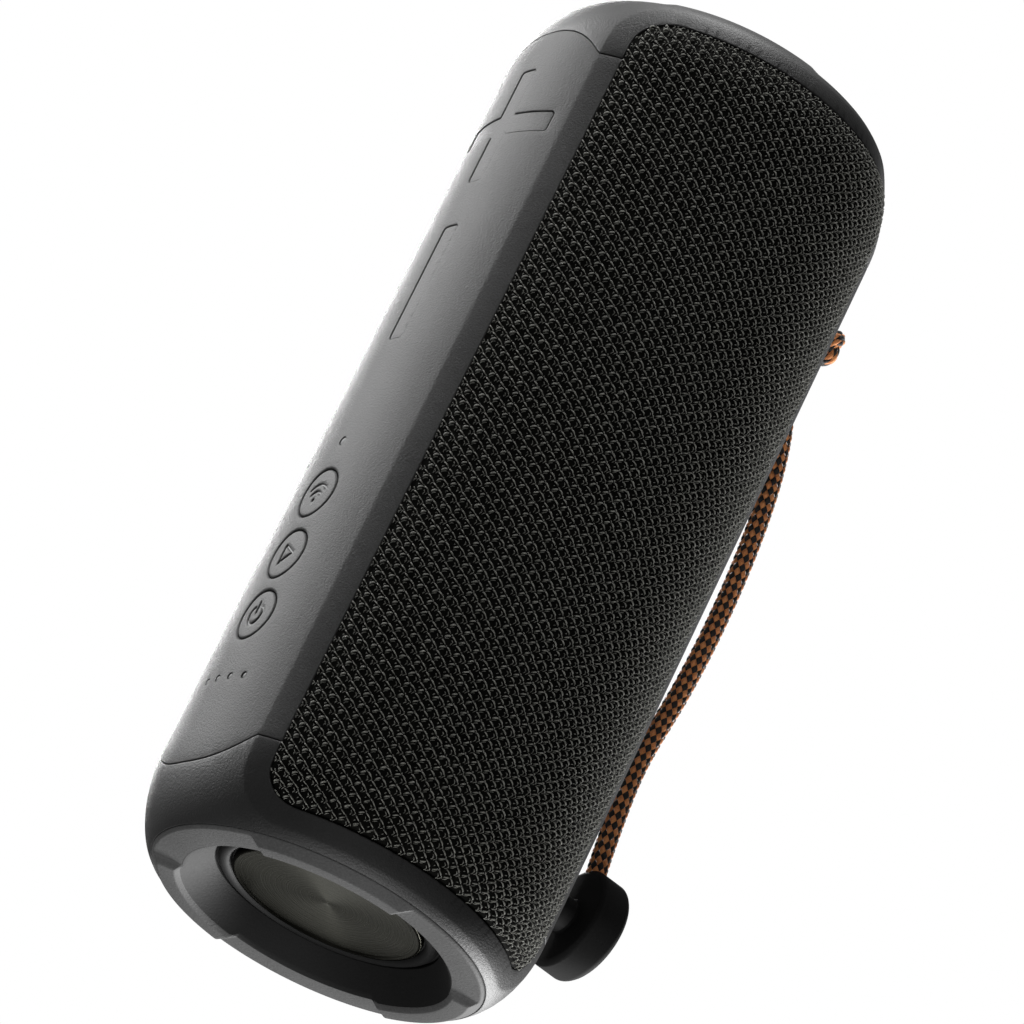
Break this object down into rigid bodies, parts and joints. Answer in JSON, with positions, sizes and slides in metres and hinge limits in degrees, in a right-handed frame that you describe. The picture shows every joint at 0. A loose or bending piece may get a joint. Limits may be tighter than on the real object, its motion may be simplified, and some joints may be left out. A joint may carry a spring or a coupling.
{
  "type": "portable bluetooth speaker",
  "caption": "Upright cylindrical portable speaker with fabric grilles on two sides, a key panel, radiators in both ends and a corded strap on its back.",
  "frame": {"origin": "centre of the lower end, in the plane of the end ring's lugs that it stands on", "axes": "+Z along the body towards its upper end, -Y towards the control panel, +Y towards the strap, +X and -X towards the grilles"},
  "size_m": [0.0764, 0.0918, 0.188],
  "materials": {
    "cap_plastic": "soft-touch charcoal, fine grain",
    "cover_plastic": "soft-touch charcoal, fine grain",
    "key_plastic": "soft-touch charcoal, fine grain",
    "grille_fabric": "black three-dimensional knit with grey yarn",
    "black_plastic": "moulded black",
    "chassis_plastic": "moulded dark grey",
    "ring_plastic": "satin dark grey",
    "radiator_metal": "spun, dark olive grey",
    "surround_rubber": "black, satin",
    "seal_rubber": "black",
    "screw_steel": "zinc plated",
    "magnet_steel": "plated",
    "cone_paper": "coated cone",
    "socket_metal": "nickel plated",
    "circuit_board": "green solder mask",
    "light_pipe": "frosted",
    "port_rubber": "matte charcoal",
    "cell_sleeve": "shrink sleeve",
    "wire_sleeve": "insulated wire",
    "strap_braid": "orange and black braid",
    "button_rubber": "matte black",
    "strap_plastic": "moulded black"
  },
  "bodies": {
    "body": {"lower_cap": "cap_plastic", "upper_cap": "cap_plastic", "control_panel": "cover_plastic", "back_cover": "cover_plastic", "right_grille_fabric": "grille_fabric", "left_grille_fabric": "grille_fabric", "right_grille_frame": "black_plastic", "left_grille_frame": "black_plastic", "chassis": "chassis_plastic", "lower_end_ring": "ring_plastic", "upper_end_ring": "ring_plastic", "lower_radiator_surround": "surround_rubber", "upper_radiator_surround": "surround_rubber", "lower_radiator_frame": "black_plastic", "upper_radiator_frame": "black_plastic", "lower_cap_gasket": "seal_rubber", "upper_cap_gasket": "seal_rubber", "cap_screws": "screw_steel", "right_driver_basket": "black_plastic", "right_driver_magnet": "magnet_steel", "right_driver_surround": "surround_rubber", "left_driver_basket": "black_plastic", "left_driver_magnet": "magnet_steel", "left_driver_surround": "surround_rubber", "driver_screws": "screw_steel", "keypad_mat": "seal_rubber", "tact_switches": "socket_metal", "button_board": "circuit_board", "battery_light_pipes": "light_pipe", "indicator_lens": "light_pipe", "main_board": "circuit_board", "usb_socket": "socket_metal", "board_screws": "screw_steel", "battery_cells": "cell_sleeve", "battery_holder": "black_plastic", "cable_grommets": "seal_rubber", "battery_lead": "wire_sleeve", "driver_leads": "wire_sleeve", "button_lead": "wire_sleeve", "strap_cord": "strap_braid", "strap_knot": "strap_braid", "strap_button": "button_rubber", "strap_post": "strap_plastic", "strap_screw": "screw_steel", "strap_anchor": "strap_plastic"},
    "power_key": {"power_key": "key_plastic"},
    "play_key": {"play_key": "key_plastic"},
    "wireless_key": {"wireless_key": "key_plastic"},
    "minus_key": {"minus_key": "key_plastic"},
    "plus_key": {"plus_key": "key_plastic"},
    "lower_radiator": {"lower_radiator_disc": "radiator_metal"},
    "upper_radiator": {"upper_radiator_disc": "radiator_metal"},
    "right_cone": {"right_driver_cone": "cone_paper"},
    "left_cone": {"left_driver_cone": "cone_paper"},
    "port_cover": {"port_cover": "port_rubber"}
  },
  "joints": [
    {"name": "power_key_press", "type": "slide", "parent": "body", "child": "power_key", "axis": [0, 1, 0], "range_m": [0, 0.0005], "stiffness_N_per_m": 1200},
    {"name": "play_key_press", "type": "slide", "parent": "body", "child": "play_key", "axis": [0, 1, 0], "range_m": [0, 0.0005], "stiffness_N_per_m": 1200},
    {"name": "wireless_key_press", "type": "slide", "parent": "body", "child": "wireless_key", "axis": [0, 1, 0], "range_m": [0, 0.0005], "stiffness_N_per_m": 1200},
    {"name": "minus_key_press", "type": "slide", "parent": "body", "child": "minus_key", "axis": [0, 1, 0], "range_m": [0, 0.0005], "stiffness_N_per_m": 1200},
    {"name": "plus_key_press", "type": "slide", "parent": "body", "child": "plus_key", "axis": [0, 1, 0], "range_m": [0, 0.0005], "stiffness_N_per_m": 1200},
    {"name": "lower_radiator_travel", "type": "slide", "parent": "body", "child": "lower_radiator", "axis": [0, 0, 1], "range_m": [-0.0015, 0.0015], "stiffness_N_per_m": 1500, "deforming": ["lower_radiator_surround"]},
    {"name": "upper_radiator_travel", "type": "slide", "parent": "body", "child": "upper_radiator", "axis": [0, 0, 1], "range_m": [-0.0015, 0.0015], "stiffness_N_per_m": 1500, "deforming": ["upper_radiator_surround"]},
    {"name": "right_cone_travel", "type": "slide", "parent": "body", "child": "right_cone", "axis": [1, 0, 0], "range_m": [-0.001, 0.001], "stiffness_N_per_m": 2000, "deforming": ["right_driver_surround"]},
    {"name": "left_cone_travel", "type": "slide", "parent": "body", "child": "left_cone", "axis": [-1, 0, 0], "range_m": [-0.001, 0.001], "stiffness_N_per_m": 2000, "deforming": ["left_driver_surround"]},
    {"name": "port_cover_hinge", "type": "hinge", "parent": "body", "child": "port_cover", "pos_m": [-0.01283, 0.036, 0.097], "axis": [0, 0, 1], "range_deg": [0, 85]}
  ]
}
